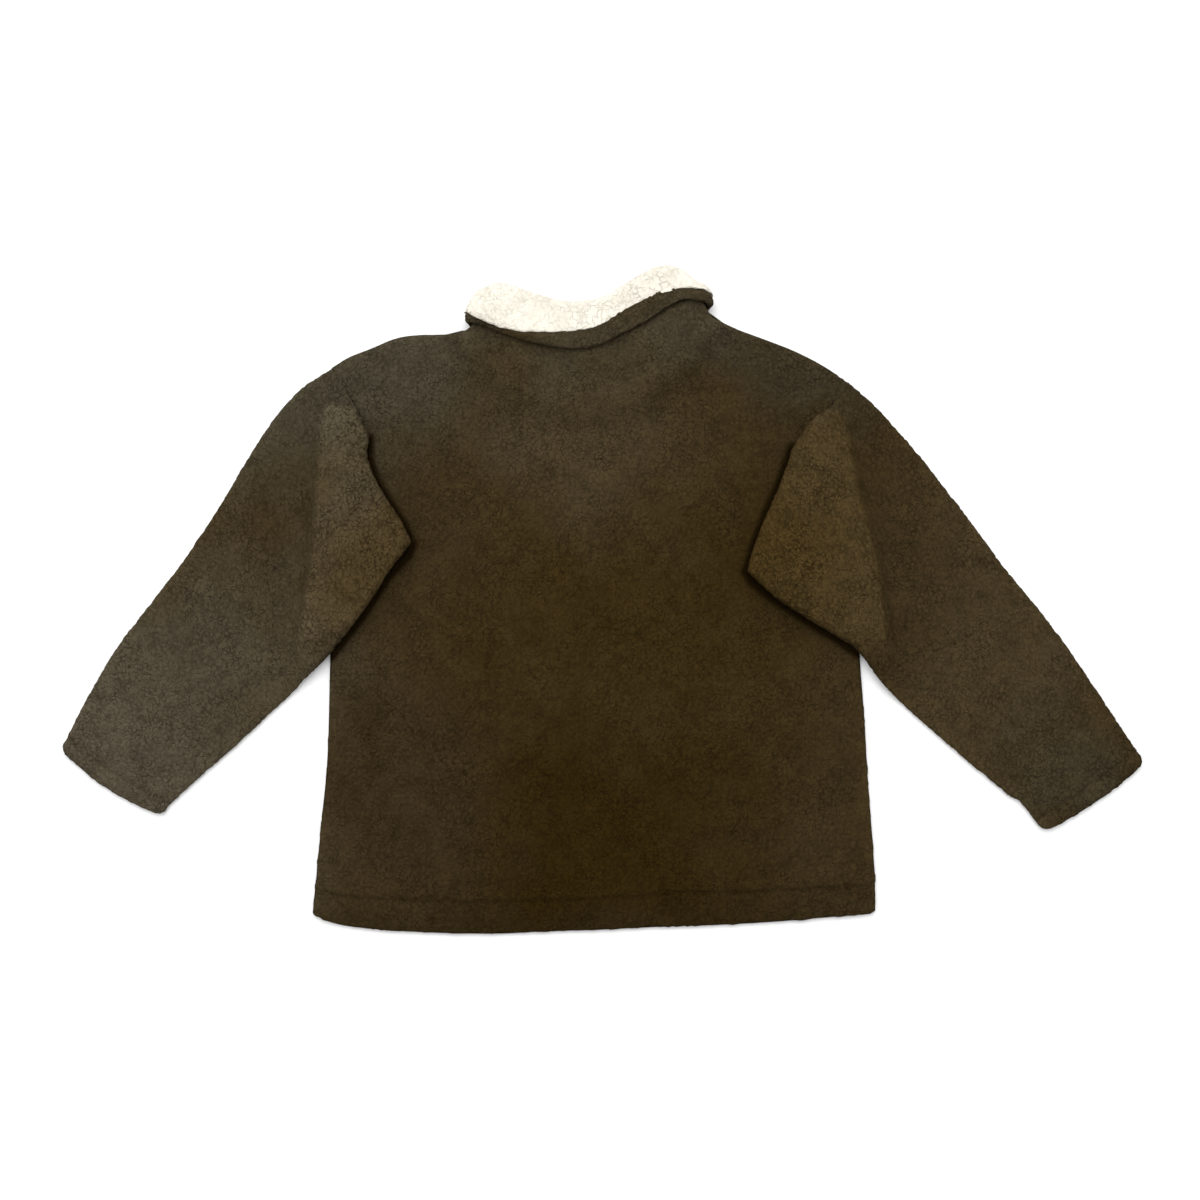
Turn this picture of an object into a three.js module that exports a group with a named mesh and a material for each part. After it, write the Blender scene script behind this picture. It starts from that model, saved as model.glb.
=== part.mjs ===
import * as THREE from "three";

// Sherpa fleece pullover with a fold-down collar, laid flat on its front with its back up.
// Millimetres, +Z up, +Y towards the collar; -X is the wearer's left.

const CLOTH = 3.6; // knit ground with the curled pile on it
const GAP = 0.3; // between sewn pieces and between layers that lie on each other
const SLEEVE_CLEAR = 0.5; // sleeve above the back panel where it lies over it
const SLEEVE_SHELF = 16; // width beyond the body's edge over which a sleeve stays raised
const EDGE_ROUND = 4; // width over which the pile thins towards a seam
const EDGE_LEFT = 0.14; // share of the cloth thickness left in the seam itself
const FOLD = CLOTH + GAP / 2; // outer radius of a flattened tube at its folds
const EDGE_STEPS = [0, 0.5, 1.8, 4]; // distances from a seam that follow the rounding

const COLLAR_MIDDLE = -15.5; // centre of the neck opening along X
const COLLAR_REACH = 114.5; // from there to the points where the ring turns under
const STAND = CLOTH + 1.5 * GAP; // opening's middle plane to the seam between the collar's cloths
const NAP = 0.2; // half the space between stand and fall
const TURN_STEPS = 8; // steps in the half circle at each end of the ring
const ROLL_ANGLES = [36, 72, 108, 144]; // from the top of the stand over to the fall
const COLLAR_LEVEL = STAND + 3 * CLOTH + 2 * NAP + GAP; // middle plane above the ground
const SAG_RUN = 45; // length over which the back half sinks to the ground past the front half
const LIFT_CLEAR = 8; // margin round the collar within which a panel is fully raised
const LIFT_RUN = 30; // length over which a raised panel comes down again
const BACK_RUN = 50; // the same for what the back panel is raised beyond the front
const BACK_EASE = 1.2; // looseness of the back panel over the collar's front half
const CORNER_RUN = 14; // length over which the panels part from each other at a neck corner

const named = (columns, rows) =>
  rows.map((row) => Object.fromEntries(columns.map((name, k) => [name, row[k]])));

// Outline of the body. The first three points of a side are the hem's edge, its
// stitching and the cloth just above; the last five are the visible armhole seam.
const HEM = named(["x", "y"], [
  [-307, -333], [-285, -341], [-240, -347], [-172, -351], [-109, -352], [-67, -350],
  [-4, -348], [59, -345], [122, -343], [185, -339], [240, -334], [286, -330],
]);
const SIDE_LEFT = named(["x", "y"], [
  [-307, -333], [-304, -305], [-303, -295], [-300, -262], [-296, -222], [-292, -182],
  [-290, -142], [-289, -100], [-288, -60], [-287, -20], [-286, 20], [-285, 58],
  [-282, 95], [-276, 130], [-266, 155], [-257, 171], [-253, 184], [-259, 198],
  [-266, 211], [-275, 227], [-286, 243],
]);
const SIDE_RIGHT = named(["x", "y"], [
  [286, -330], [285, -302], [285, -292], [283, -260], [280, -221], [277, -182],
  [275, -142], [272, -100], [269, -60], [268, -20], [266, 20], [263, 58],
  [257, 95], [247, 128], [232, 149], [218, 163], [212, 178], [224, 192],
  [240, 204], [245, 219], [246, 235],
]);
const SHOULDER_LEFT = named(["x", "y"], [
  [-286, 243], [-268, 254], [-245, 263], [-218, 274], [-190, 278], [-163, 278.5], [-142, 283.5],
]);
const SHOULDER_RIGHT = named(["x", "y"], [
  [107, 302], [124, 291], [146, 281.5], [172, 271.5], [200, 260.5], [226, 247.5], [246, 235],
]);

// Turned-up hem: steps from the edge (1 is the stitching, 2 the plain cloth above it)
// and the thickness as a share of plain cloth.
const TURN_UP = named(["step", "thick"], [
  [0, 0.45], [0.05, 0.8], [0.15, 1.08], [0.5, 1.22], [0.85, 1.08], [1, 0.62], [1.3, 0.95], [2, 1],
]);

// Collar at stations along the back neck: roll line, lower end of the lining,
// free edge of the fall, neck seam.
const COLLAR_BACK = named(["x", "roll", "edge", "free", "seam"], [
  [-130, 324, 292, 285, 290], [-109, 332, 283, 277, 282], [-78, 323, 279, 269, 276],
  [-46, 314, 279, 263, 270], [-25, 313, 281, 262, 269], [-4, 317, 287, 265, 272],
  [17, 328, 298, 276, 283], [38, 341, 308, 287, 295], [59, 350, 317, 299, 307],
  [80, 347, 324, 311, 318], [99, 330, 319, 309, 314],
]);
// The same lines where the ring turns under, where it comes out below, and at mid front.
const COLLAR_SIDE = named(["roll", "edge", "free", "seam"], [
  [304, 293, 285, 289], [324, 315, 304, 313],
]);
const COLLAR_UNDER = named(["roll", "edge", "free", "seam"], [
  [296, 279, 268, 276], [316, 299, 288, 296],
]);
const COLLAR_FRONT = { roll: 257, edge: 219, free: 207, seam: 215 };
const FRONT_STATIONS = [-1, -0.85, -0.65, -0.35, 0, 0.35, 0.65, 0.85, 1];
const FRONT_CURVE = 2.2; // power of the front neck's U shape

// Armhole ends of the sleeves from the shoulder to the underarm corner. The first
// five points are the body's own; the rest is the fold that lies on the back panel.
const FLAP_LEFT = named(["x", "y"], [
  [-248, 166], [-246, 148], [-238, 124], [-226, 101], [-212, 78], [-203, 56],
]);
const FLAP_RIGHT = named(["x", "y"], [
  [198, 158], [191, 136], [182, 113], [171, 89], [159, 58], [150, 28],
]);
// Sleeve sections after the armhole: overarm fold, underarm fold, bow towards the cuff.
// The last three are the plain cloth above the stitching, the stitching, the cuff's edge.
const SLEEVE_LEFT = named(["overX", "overY", "underX", "underY", "bow"], [
  [-303, 232, -215, 41, 0], [-319, 221, -227, 25, 0], [-340, 199, -240, 4, 0],
  [-361, 170, -256, -19, 0], [-382, 136, -272, -40, 0], [-403, 100, -288, -60, 0],
  [-424, 68, -308, -80, 0], [-445, 37, -330, -102, 0], [-466, 10, -352, -122, 0],
  [-487, -17, -374, -143, 1], [-508, -44, -396, -163, 2], [-529, -77, -418, -182, 3],
  [-553, -121, -438, -200, 4], [-558, -130, -446, -207, 4], [-568, -151, -459, -222, 5],
]);
const SLEEVE_RIGHT = named(["overX", "overY", "underX", "underY", "bow"], [
  [258, 227, 163, 15, 0], [269, 218, 176, 3, 0], [290, 198, 197, -12, 0],
  [311, 175, 220, -26, 0], [332, 151, 245, -41, 0], [353, 124, 267, -57, 0],
  [374, 97, 288, -85, 0], [395, 69, 309, -107, 0], [416, 40, 331, -127, 0],
  [440, 10, 354, -147, 0], [464, -19, 377, -167, 1], [490, -54, 402, -188, 2],
  [515, -91, 425, -207, 2], [548, -141, 440, -218, 3], [554, -150, 447, -225, 3],
  [567, -168, 459, -242, 3],
]);

const FLEECE = new THREE.MeshStandardMaterial({ color: 0x43361f, roughness: 0.95, metalness: 0 });
const LINING = new THREE.MeshStandardMaterial({ color: 0xf1eee0, roughness: 0.95, metalness: 0 });

const mix = (a, b, t) => a + (b - a) * t;
const mixPoint = (a, b, t) => ({ x: mix(a.x, b.x, t), y: mix(a.y, b.y, t) });
const clamp = (t) => Math.min(1, Math.max(0, t));
const smooth = (t) => clamp(t) ** 2 * (3 - 2 * clamp(t));

// Point of a table at a fractional row number.
function pick(table, step) {
  const k = Math.min(Math.floor(step), table.length - 2);
  return mixPoint(table[k], table[k + 1], step - k);
}

// Value of a column, linear between the rows, found from another column.
function lookUp(table, key, at, column) {
  const next = Math.max(1, table.findIndex((row) => row[key] >= at));
  const [a, b] = [table[next - 1], table[next]];
  return mix(a[column], b[column], (at - a[key]) / (b[key] - a[key]));
}

// Distance from a point to a line of points, negative on the line's left-hand side.
function lineDistance(line, x, y) {
  let best = { near: Infinity, side: 1 };
  for (let k = 0; k + 1 < line.length; k++) {
    const [a, b] = [line[k], line[k + 1]];
    const [dx, dy] = [b.x - a.x, b.y - a.y];
    const t = clamp(((x - a.x) * dx + (y - a.y) * dy) / (dx * dx + dy * dy));
    const near = Math.hypot(x - a.x - t * dx, y - a.y - t * dy);
    if (near < best.near - 1e-9) {
      best = { near, side: dx * (y - a.y) - dy * (x - a.x) > 0 ? -1 : 1 };
    }
  }
  return best.near * best.side;
}

// Share of the thickness that is left at a distance from a seam.
function edgeShare(distance) {
  const inside = 1 - clamp(distance / EDGE_ROUND);
  return Math.max(EDGE_LEFT, Math.sqrt(1 - inside * inside));
}

// One closed wall between two grids of points; a ring joins its last column to its first.
function wall(name, outer, inner, ring, material) {
  const rows = outer.length;
  const columns = outer[0].length;
  const points = [...outer.flat(), ...inner.flat()];
  const at = (skin, i, j) => skin * rows * columns + i * columns + (j % columns);
  const faces = [];
  const quad = (a, b, c, d) => faces.push([a, b, c], [a, c, d]);
  const spans = ring ? columns : columns - 1;
  for (let i = 0; i + 1 < rows; i++) {
    for (let j = 0; j < spans; j++) {
      quad(at(0, i, j), at(0, i, j + 1), at(0, i + 1, j + 1), at(0, i + 1, j));
      quad(at(1, i, j), at(1, i + 1, j), at(1, i + 1, j + 1), at(1, i, j + 1));
    }
    if (!ring) {
      const last = columns - 1;
      quad(at(0, i, 0), at(0, i + 1, 0), at(1, i + 1, 0), at(1, i, 0));
      quad(at(0, i + 1, last), at(0, i, last), at(1, i, last), at(1, i + 1, last));
    }
  }
  for (let j = 0; j < spans; j++) {
    const end = rows - 1;
    quad(at(0, 0, j + 1), at(0, 0, j), at(1, 0, j), at(1, 0, j + 1));
    quad(at(0, end, j), at(0, end, j + 1), at(1, end, j + 1), at(1, end, j));
  }
  let volume = 0;
  for (const [a, b, c] of faces) {
    volume += points[a].dot(new THREE.Vector3().crossVectors(points[b], points[c]));
  }
  const geometry = new THREE.BufferGeometry();
  const order = volume > 0 ? faces : faces.map(([a, b, c]) => [a, c, b]);
  const places = points.flatMap((point) => [point.x, point.y, point.z]);
  geometry.setAttribute("position", new THREE.Float32BufferAttribute(places, 3));
  geometry.setIndex(order.flat());
  geometry.computeVertexNormals();
  const mesh = new THREE.Mesh(geometry, material);
  mesh.name = name;
  return mesh;
}

// Front half of a collar line at a place across the neck.
function frontLine(column, x) {
  const across = (x - COLLAR_MIDDLE) / COLLAR_REACH;
  const under = COLLAR_UNDER[across < 0 ? 0 : 1][column];
  return mix(COLLAR_FRONT[column], under, Math.min(1, Math.abs(across)) ** FRONT_CURVE);
}

// The back half of the collar sinks to the ground where the front half is not under it.
function sag(x, y) {
  return -(COLLAR_LEVEL - 0.2 + GAP / 2) * smooth((y - frontLine("roll", x)) / SAG_RUN);
}

// Height that the folded front collar gives to the front panel and then to the back panel.
const frontEdges = Object.fromEntries(["free", "seam"].map((column) => [column, [
  { x: SHOULDER_LEFT.at(-1).x, y: SHOULDER_LEFT.at(-1).y },
  ...FRONT_STATIONS.map((share) => {
    const x = COLLAR_MIDDLE + share * COLLAR_REACH;
    return { x, y: frontLine(column, x) };
  }),
  { x: SHOULDER_RIGHT[0].x, y: SHOULDER_RIGHT[0].y },
]]));
function cornerShare(x) {
  return smooth((COLLAR_REACH + STAND - Math.abs(x - COLLAR_MIDDLE)) / CORNER_RUN);
}
function frontLift(x, y) {
  const low = COLLAR_LEVEL - STAND - CLOTH;
  const away = lineDistance(frontEdges.free, x, y);
  const full = low + (STAND - GAP / 2) * (1 - cornerShare(x));
  return full * smooth(1 - (away - LIFT_CLEAR) / LIFT_RUN);
}
function backLift(x, y, neckGap) {
  const away = lineDistance(frontEdges.seam, x, y);
  const overFront = smooth(1 - (away - LIFT_CLEAR) / BACK_RUN);
  const toStand = smooth(1 - neckGap / (LIFT_RUN / 2));
  const step = (STAND - GAP / 2) * cornerShare(x);
  const ease = BACK_EASE * (1 - toStand);
  return frontLift(x, y) + (step + ease) * overFront + step * toStand + sag(x, y);
}

// Both body panels: a grid between the hem, the sides and the shoulder-and-neck line.
function panel(name, neck, isBack) {
  const top = [...SHOULDER_LEFT, ...neck, ...SHOULDER_RIGHT];
  const last = top.length - 1;
  const width = top[last].x - top[0].x;
  const edgeColumns = EDGE_STEPS.map((step) => top[0].x + step);
  const across = [
    ...edgeColumns,
    ...top.slice(1, last).map((point) => point.x),
    ...EDGE_STEPS.map((step) => top[last].x - step).reverse(),
  ];
  const sideEnd = SIDE_LEFT.length - 1;
  const sideStep = Math.hypot(
    SIDE_LEFT[sideEnd].x - SIDE_LEFT[sideEnd - 1].x,
    SIDE_LEFT[sideEnd].y - SIDE_LEFT[sideEnd - 1].y,
  );
  const up = [
    ...TURN_UP.map((row) => row.step),
    ...SIDE_LEFT.slice(3, sideEnd).map((point, k) => k + 3),
    ...EDGE_STEPS.map((step) => sideEnd - step / sideStep).reverse(),
  ];
  const hemLeft = HEM[0];
  const hemRight = HEM.at(-1);
  const outer = [];
  const inner = [];
  for (const step of up) {
    const left = pick(SIDE_LEFT, step);
    const right = pick(SIDE_RIGHT, step);
    const v = (left.y - hemLeft.y) / (top[0].y - hemLeft.y);
    const hem = step < 2 ? lookUp(TURN_UP, "step", step, "thick") : 1;
    const topGap = (1 - v) * (top[0].y - hemLeft.y);
    outer.push([]);
    inner.push([]);
    for (const x of across) {
      const u = (x - top[0].x) / width;
      const above = { x, y: lookUp(top, "x", x, "y") };
      const hemX = mix(hemLeft.x, hemRight.x, u);
      const below = { x: hemX, y: lookUp(HEM, "x", hemX, "y") };
      const place = ["x", "y"].map((axis) =>
        mix(below[axis], above[axis], v) + mix(left[axis], right[axis], u) -
        mix(mix(hemLeft[axis], hemRight[axis], u), mix(top[0][axis], top[last][axis], u), v));
      const isNeck = x > SHOULDER_LEFT.at(-1).x + 1 && x < SHOULDER_RIGHT[0].x - 1;
      const sideGap = Math.min(u, 1 - u) * width;
      const round = Math.min(edgeShare(sideGap), isNeck ? 1 : edgeShare(topGap));
      const thick = CLOTH * hem * round;
      const seat = CLOTH * Math.max(1, hem);
      const lift = isBack ? backLift(...place, topGap) : frontLift(...place);
      const inside = seat + lift + (isBack ? GAP : 0);
      const outside = inside + (isBack ? thick : -thick);
      outer.at(-1).push(new THREE.Vector3(...place, outside));
      inner.at(-1).push(new THREE.Vector3(...place, inside));
    }
  }
  return wall(name, outer, inner, false, FLEECE);
}

// A sleeve: one cloth tube, folded along the overarm, its seam along the underarm,
// pressed flat; its body end lies over the back panel from the armhole seam inwards.
function sleeve(name, side, flap, sections) {
  const seam = side.slice(-5).reverse();
  const outward = Math.sign(sections[0].overX);
  const armhole = [...seam, ...flap].map(({ x, y }) => ({ x: x + outward * GAP, y: y - GAP / 2 }));
  const [shoulder, corner] = [armhole[0], armhole.at(-1)];
  const first = {
    overX: shoulder.x, overY: shoulder.y, underX: corner.x, underY: corner.y, bow: 0,
  };
  const rings = [first, ...sections];
  const steps = armhole.map((point, k) =>
    k ? Math.hypot(point.x - armhole[k - 1].x, point.y - armhole[k - 1].y) : 0);
  const along = steps.map((step, k) => steps.slice(0, k + 1).reduce((sum, part) => sum + part));
  const shares = along.map((length) => length / along.at(-1));
  const bends = armhole.map((point, k) => {
    const straight = mixPoint(shoulder, corner, shares[k]);
    return { share: shares[k], x: point.x - straight.x, y: point.y - straight.y };
  });
  const firstStep = Math.hypot(rings[1].overX - first.overX, rings[1].overY - first.overY);
  const end = rings.length - 1;
  const stations = [
    ...EDGE_STEPS.map((step) => step / firstStep),
    ...rings.slice(1, end - 2).map((ring, k) => k + 1),
    ...TURN_UP.map((row) => end - row.step).reverse(),
  ];
  const turn = [-45, 0, 45].map(THREE.MathUtils.degToRad);
  const outer = [];
  const inner = [];
  for (const station of stations) {
    const k = Math.min(Math.floor(station), end - 1);
    const value = (column) => mix(rings[k][column], rings[k + 1][column], station - k);
    const over = { x: value("overX"), y: value("overY") };
    const under = { x: value("underX"), y: value("underY") };
    const width = Math.hypot(under.x - over.x, under.y - over.y);
    const alongX = (under.x - over.x) / width;
    const alongY = (under.y - over.y) / width;
    const decay = Math.max(0, 1 - station / 4) ** 2;
    const bow = value("bow");
    const hem = end - station < 2 ? lookUp(TURN_UP, "step", end - station, "thick") : 1;
    const round = edgeShare(station * firstStep);
    const half = CLOTH * hem * round + GAP / 2;
    const middle = CLOTH * Math.max(1, hem) + GAP / 2;
    const place = (share, beyond, height) => {
      const near = clamp(share + beyond / width);
      const push = bow * Math.sin(Math.PI * near) * outward;
      const bendX = lookUp(bends, "share", near, "x") * decay;
      const bendY = lookUp(bends, "share", near, "y") * decay;
      const x = mix(over.x, under.x, share) + alongX * beyond + bendX - alongY * push * outward;
      const y = mix(over.y, under.y, share) + alongY * beyond + bendY - Math.abs(alongX * push);
      return new THREE.Vector3(x, y, middle + height + sleeveLift(side, outward, x, y));
    };
    const inset = FOLD / width;
    const spread = shares.map((share) => Math.min(1 - inset, Math.max(inset, share)));
    const loop = (reach, tall) => [
      ...spread.map((share) => place(share, 0, tall)),
      ...turn.map((angle) => place(1 - inset, reach * Math.cos(angle), -tall * Math.sin(angle))),
      ...spread.toReversed().map((share) => place(share, 0, -tall)),
      ...turn.map((angle) => place(inset, -reach * Math.cos(angle), tall * Math.sin(angle))),
    ];
    outer.push(loop(FOLD, half));
    inner.push(loop(GAP / 2, GAP / 2));
  }
  return wall(name, outer, inner, true, FLEECE);
}

// Height of a sleeve over the body's edge, full above the panel and gone a little outside.
function sleeveLift(side, outward, x, y) {
  const away = lineDistance(side, x, y) * outward;
  const top = side.at(-1).y - 18;
  const full = 2 * CLOTH + GAP + SLEEVE_CLEAR;
  return full * smooth(1 - (away - SLEEVE_SHELF) / LIFT_RUN) * smooth((top - y) / 38);
}

// Stations of the collar's ring: along the back neck, under at the right, along the
// front, and up again at the left.
function collarStations() {
  const columns = ["roll", "edge", "free", "seam"];
  const back = COLLAR_BACK.map((row) => ({ ...row, angle: 0 }));
  const front = FRONT_STATIONS.map((share) => {
    const x = COLLAR_MIDDLE + share * COLLAR_REACH;
    const lines = Object.fromEntries(columns.map((column) => [column, frontLine(column, x)]));
    return { ...lines, x, angle: Math.PI };
  });
  const turn = (which, start, finish) => {
    const stations = [];
    for (let k = 1; k < TURN_STEPS; k++) {
      const angle = (Math.PI * k) / TURN_STEPS;
      const isBack = angle < Math.PI / 2;
      const share = Math.cos(angle) ** (isBack ? 2 : 4);
      const side = COLLAR_SIDE[which];
      const other = isBack ? start : finish;
      const lines = columns.map((column) => [column, mix(side[column], other[column], share)]);
      stations.push({ ...Object.fromEntries(lines), x: start.x, angle: which ? angle : -angle });
    }
    return stations;
  };
  return [
    ...back,
    ...turn(1, back.at(-1), front.at(-1)),
    ...front.toReversed(),
    ...turn(0, back[0], front[0]).reverse(),
  ];
}

// Point of the collar: a distance out from the seam plane of the stand, and a height.
function collarPoint(station, out, y) {
  const radius = STAND + out;
  const x = station.x + radius * Math.sin(station.angle);
  return new THREE.Vector3(x, y, COLLAR_LEVEL + radius * Math.cos(station.angle) + sag(x, y));
}

// Half circle over the roll line or round the free edge.
function arc(out, y, radius, degrees) {
  return degrees.map(THREE.MathUtils.degToRad)
    .map((angle) => [out - Math.cos(angle) * Math.abs(radius), y + Math.sin(angle) * radius]);
}

// Under collar and collar lining share these heights in the stand and in the fall.
function collarLevels(station) {
  const top = station.roll - 2 * CLOTH - NAP - GAP;
  return [station.seam, station.edge, mix(station.edge, top, 1 / 3), mix(station.edge, top, 2 / 3), top];
}

function underCollar() {
  const crown = CLOTH + NAP;
  const fall = CLOTH + 2 * NAP;
  const rim = 2 * CLOTH + 2 * NAP + GAP / 2;
  const round = [0, 45, 90, 135, 180];
  const skin = (station, stand, radius, fallOut, rimRadius, tip) => {
    const levels = collarLevels(station);
    const down = levels.slice(1).reverse();
    const turnY = station.free + CLOTH + GAP / 2;
    return [
      ...levels.map((y) => [stand, y]),
      ...arc(crown, levels.at(-1), radius, ROLL_ANGLES),
      ...down.map((y) => [fallOut, y]),
      ...arc(rim, turnY, -rimRadius, round),
      [rim + rimRadius, station.edge - 1.5],
      [tip, station.edge - GAP],
    ].map(([out, y]) => collarPoint(station, out, y));
  };
  const stations = collarStations();
  const towardsLining = stations.map((station) =>
    skin(station, 0, crown, fall + CLOTH, GAP / 2, rim + GAP / 2));
  const towardsStand = stations.map((station) =>
    skin(station, CLOTH, NAP, fall, CLOTH + GAP / 2, rim + CLOTH + GAP / 2 - 1));
  return closeRing("collar_under", towardsLining, towardsStand, FLEECE);
}

function collarLining() {
  const crown = CLOTH + NAP;
  const skin = (station, radius, tip) => {
    const levels = collarLevels(station);
    const down = levels.slice(1).reverse();
    return [
      ...levels.map((y) => [crown - radius, y]),
      ...arc(crown, levels.at(-1), radius, ROLL_ANGLES),
      ...down.slice(0, -1).map((y) => [crown + radius, y]),
      [crown + radius - tip, station.edge],
    ].map(([out, y]) => collarPoint(station, out, y));
  };
  const stations = collarStations();
  const outside = stations.map((station) => skin(station, crown + GAP + CLOTH, 1));
  const inside = stations.map((station) => skin(station, crown + GAP, 0));
  return closeRing("collar_lining", inside, outside, LINING);
}

// The collar's skins are listed station by station; a ring wall wants them line by line.
function closeRing(name, near, far, material) {
  const lines = (skin) => skin[0].map((point, k) => skin.map((station) => station[k]));
  return wall(name, lines(near), lines(far), true, material);
}

const neckBack = COLLAR_BACK.map((row) => ({ x: row.x, y: row.seam - GAP }));
const neckFront = frontEdges.seam.slice(1, -1).map(({ x, y }) => ({ x, y: y - GAP }));

const pullover = new THREE.Group();
pullover.name = "sherpa_pullover";
pullover.add(
  panel("back_panel", neckBack, true),
  panel("front_panel", neckFront, false),
  sleeve("sleeve_left", SIDE_LEFT, FLAP_LEFT, SLEEVE_LEFT),
  sleeve("sleeve_right", SIDE_RIGHT, FLAP_RIGHT, SLEEVE_RIGHT),
  underCollar(),
  collarLining(),
);

const box = new THREE.Box3().setFromObject(pullover);
const middle = box.getCenter(new THREE.Vector3());
for (const mesh of pullover.children) {
  mesh.geometry.translate(-middle.x, -middle.y, -box.min.z);
}

export default pullover;
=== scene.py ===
import math

import bpy
import numpy as np
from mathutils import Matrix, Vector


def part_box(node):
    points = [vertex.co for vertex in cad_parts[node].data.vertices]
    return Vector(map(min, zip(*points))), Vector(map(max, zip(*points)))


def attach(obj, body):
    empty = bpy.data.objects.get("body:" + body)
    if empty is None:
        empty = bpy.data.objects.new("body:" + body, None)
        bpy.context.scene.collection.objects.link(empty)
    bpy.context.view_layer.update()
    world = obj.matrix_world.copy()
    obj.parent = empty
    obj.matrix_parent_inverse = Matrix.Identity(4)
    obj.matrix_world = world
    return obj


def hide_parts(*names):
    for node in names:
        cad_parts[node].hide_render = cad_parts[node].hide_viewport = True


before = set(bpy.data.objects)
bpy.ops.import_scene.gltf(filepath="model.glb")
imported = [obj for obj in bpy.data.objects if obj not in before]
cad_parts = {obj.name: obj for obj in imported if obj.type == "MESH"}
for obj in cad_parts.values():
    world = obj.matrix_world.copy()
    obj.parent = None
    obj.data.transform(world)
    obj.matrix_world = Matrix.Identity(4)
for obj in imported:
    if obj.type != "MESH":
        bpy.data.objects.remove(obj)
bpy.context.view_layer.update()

# The camera hangs straight over the pullover, as the photo was taken. One pixel of
# the photo is 1.05 mm of cloth, so its 1200 pixels take in 1.26 m.
MM = 0.001
PIXEL = 1.05
PHOTO_SIZE = 1200
PHOTO_ZERO = (604.0, 598.5)
LENS = 50.0
SENSOR = 36.0
CLOTH_LEVEL = 8.0

side_left = np.array([
    (-307, -335), (-304, -305), (-303, -295), (-300, -262), (-296, -222), (-292, -182),
    (-290, -142), (-289, -100), (-288, -60), (-287, -20), (-286, 20), (-285, 58),
    (-282, 95), (-276, 130), (-266, 155), (-257, 171), (-253, 184), (-259, 198),
    (-266, 211), (-275, 227), (-286, 243),
], float)
# x, roll line, edge of the lining, free edge of the fall and neck seam
collar_back = np.array([
    (-130, 324, 291, 285, 290), (-109, 332, 281, 276, 282), (-78, 323, 277, 266, 276),
    (-46, 314, 278, 260, 270), (-25, 313, 280, 259, 269), (-4, 317, 286, 263, 272),
    (17, 328, 296, 274, 283), (38, 341, 307, 285, 295), (59, 350, 316, 298, 307),
    (80, 347, 324, 310, 318), (99, 330, 321, 309, 314),
], float)

# The tables hold places read off the photo's outline, at PIXEL millimetres a pixel. They
# count from a point in the middle of the photo; the frame's origin is the middle of the
# solids, found here from the left side seam and the highest roll.
move_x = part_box("back_panel")[0][0] - side_left[0, 0] * MM
move_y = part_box("collar_lining")[1][1] - collar_back[:, 1].max() * MM

camera_data = bpy.data.cameras.new("camera_overhead")
camera_data.lens = LENS
camera_data.sensor_width = SENSOR
camera = bpy.data.objects.new("camera_overhead", camera_data)
photo_width = PHOTO_SIZE * PIXEL * MM
camera.location = (
    (PHOTO_SIZE / 2 - PHOTO_ZERO[0]) * PIXEL * MM + move_x,
    (PHOTO_ZERO[1] - PHOTO_SIZE / 2) * PIXEL * MM + move_y,
    photo_width * LENS / SENSOR + CLOTH_LEVEL * MM,
)
scene = bpy.context.scene
scene.collection.objects.link(camera)
scene.camera = camera
scene.view_settings.view_transform = "Standard"

# The pullover lies on a plain near-white floor, under a wide soft light from above and
# weaker ones from the sides that bring out the pile.
FLOOR_SIZE = 12.0
FLOOR_DROP = 0.0004
FLOOR_WHITE = (0.96, 0.96, 0.96, 1.0)
SKY_WHITE = (1.0, 1.0, 1.0, 1.0)
SKY_STRENGTH = 0.62

floor_mesh = bpy.data.meshes.new("floor")
half_floor = FLOOR_SIZE / 2
floor_signs = ((-1, -1), (1, -1), (1, 1), (-1, 1))
floor_corners = [(x * half_floor, y * half_floor, -FLOOR_DROP) for x, y in floor_signs]
floor_mesh.from_pydata(floor_corners, [], [(0, 1, 2, 3)])
floor = bpy.data.objects.new("floor", floor_mesh)
scene.collection.objects.link(floor)
floor_material = bpy.data.materials.new("floor_paper")
floor_material.use_nodes = True
floor_shader = floor_material.node_tree.nodes["Principled BSDF"]
floor_shader.inputs["Base Color"].default_value = FLOOR_WHITE
floor_shader.inputs["Roughness"].default_value = 0.9
floor_mesh.materials.append(floor_material)

sky = bpy.data.worlds.new("studio")
sky.use_nodes = True
sky.node_tree.nodes["Background"].inputs["Color"].default_value = SKY_WHITE
sky.node_tree.nodes["Background"].inputs["Strength"].default_value = SKY_STRENGTH
scene.world = sky

# name, place, size and power of each light; all of them point at the middle of the back
LIGHTS = (
    ("light_above", (-0.2, 1.3, 2.4), 2.2, 62.0),
    ("light_left", (-2.4, 0.9, 1.5), 1.6, 14.0),
    ("light_right", (2.4, 0.2, 1.7), 1.8, 9.0),
)
for light_name, place, size, power in LIGHTS:
    light_data = bpy.data.lights.new(light_name, "AREA")
    light_data.size = size
    light_data.energy = power
    light = bpy.data.objects.new(light_name, light_data)
    light.location = place
    towards = np.array((0.0, 0.0, 0.0)) - np.array(place)
    tilt = math.atan2(math.hypot(towards[0], towards[1]), -towards[2])
    light.rotation_euler = (tilt, 0.0, math.atan2(towards[1], towards[0]) - math.pi / 2)
    scene.collection.objects.link(light)


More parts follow.
